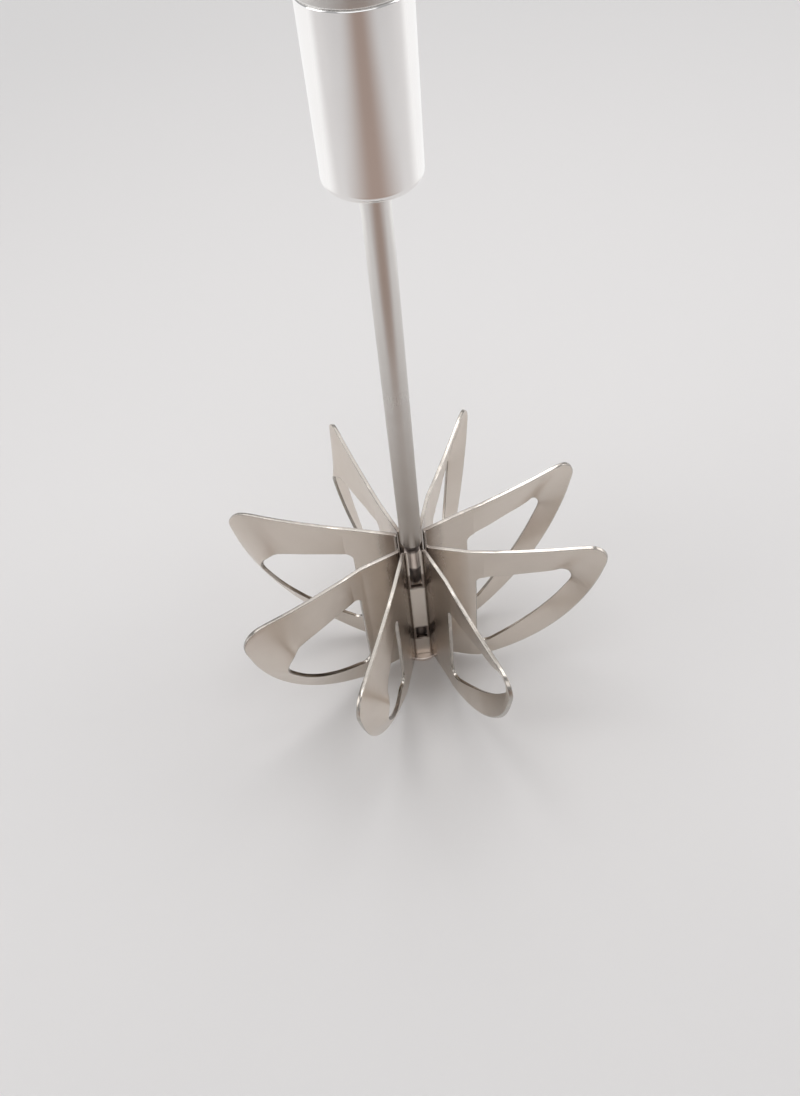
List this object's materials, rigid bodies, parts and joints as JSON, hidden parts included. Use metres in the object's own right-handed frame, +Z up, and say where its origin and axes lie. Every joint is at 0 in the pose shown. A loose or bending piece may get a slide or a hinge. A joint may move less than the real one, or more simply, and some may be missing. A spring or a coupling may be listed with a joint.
{
  "type": "milk frother",
  "caption": "Hand-held battery milk frother: tubular metal grip with push-button cap, tapered nose, polished collar, thin shaft and a head of eight windowed blades bent from four sheets.",
  "frame": {"origin": "on the axis at the shoulder where the straight grip tube starts", "axes": "+Z up along the shaft from the whisk to the button; the channel of blade_pair_1 opens along +X"},
  "size_m": [0.0761, 0.0756, 0.3218],
  "materials": {
    "blade_steel": "polished",
    "hub_steel": "satin",
    "shaft_steel": "ground",
    "collar_chrome": "mirror polished",
    "grip_steel": "fine brushed",
    "cap_plastic": "fine matt grain",
    "button_plastic": "soft matt",
    "soft_rubber": "matt",
    "bush_bronze": "sintered",
    "inner_plastic": "moulded",
    "motor_steel": "plated",
    "rotor_iron": "laminated",
    "contact_brass": "bright",
    "cell_jacket": "satin jacket",
    "screw_steel": "plain"
  },
  "bodies": {
    "handle": {"grip_shell": "grip_steel", "nose_cone": "grip_steel", "nose_collar": "collar_chrome", "bush_carrier": "inner_plastic", "shaft_bush": "bush_bronze", "shaft_seal": "soft_rubber", "motor_mount": "inner_plastic", "motor_can": "motor_steel", "motor_screws": "screw_steel", "motor_magnets": "rotor_iron", "motor_end_bell": "inner_plastic", "motor_terminals": "contact_brass", "cell_carrier": "inner_plastic", "cell_lower": "cell_jacket", "cell_upper": "cell_jacket", "contact_plate": "contact_brass", "feed_strip": "contact_brass", "ring_contact": "contact_brass"},
    "cap": {"end_cap": "cap_plastic", "cap_ring": "soft_rubber", "button_boot": "soft_rubber"},
    "button": {"power_button": "button_plastic", "bridge_contact": "contact_brass"},
    "whisk": {"whisk_shaft": "shaft_steel", "shaft_coupling": "motor_steel", "coupling_screws": "screw_steel", "motor_shaft": "shaft_steel", "motor_armature": "rotor_iron", "commutator": "contact_brass", "hub_core": "hub_steel", "hub_foot": "hub_steel", "blade_pair_1": "blade_steel", "blade_pair_2": "blade_steel", "blade_pair_3": "blade_steel", "blade_pair_4": "blade_steel"}
  },
  "joints": [
    {"name": "whisk_spin", "type": "hinge", "parent": "handle", "child": "whisk", "pos_m": [0, 0, 0], "axis": [0, 0, 1], "continuous": true},
    {"name": "cap_pull", "type": "slide", "parent": "handle", "child": "cap", "axis": [0, 0, 1], "range_m": [0, 0.016]},
    {"name": "button_press", "type": "slide", "parent": "cap", "child": "button", "axis": [0, 0, -1], "range_m": [0, 0.0015], "stiffness_N_per_m": 800, "springref_m": -0.001, "deforming": ["button_boot"]}
  ]
}
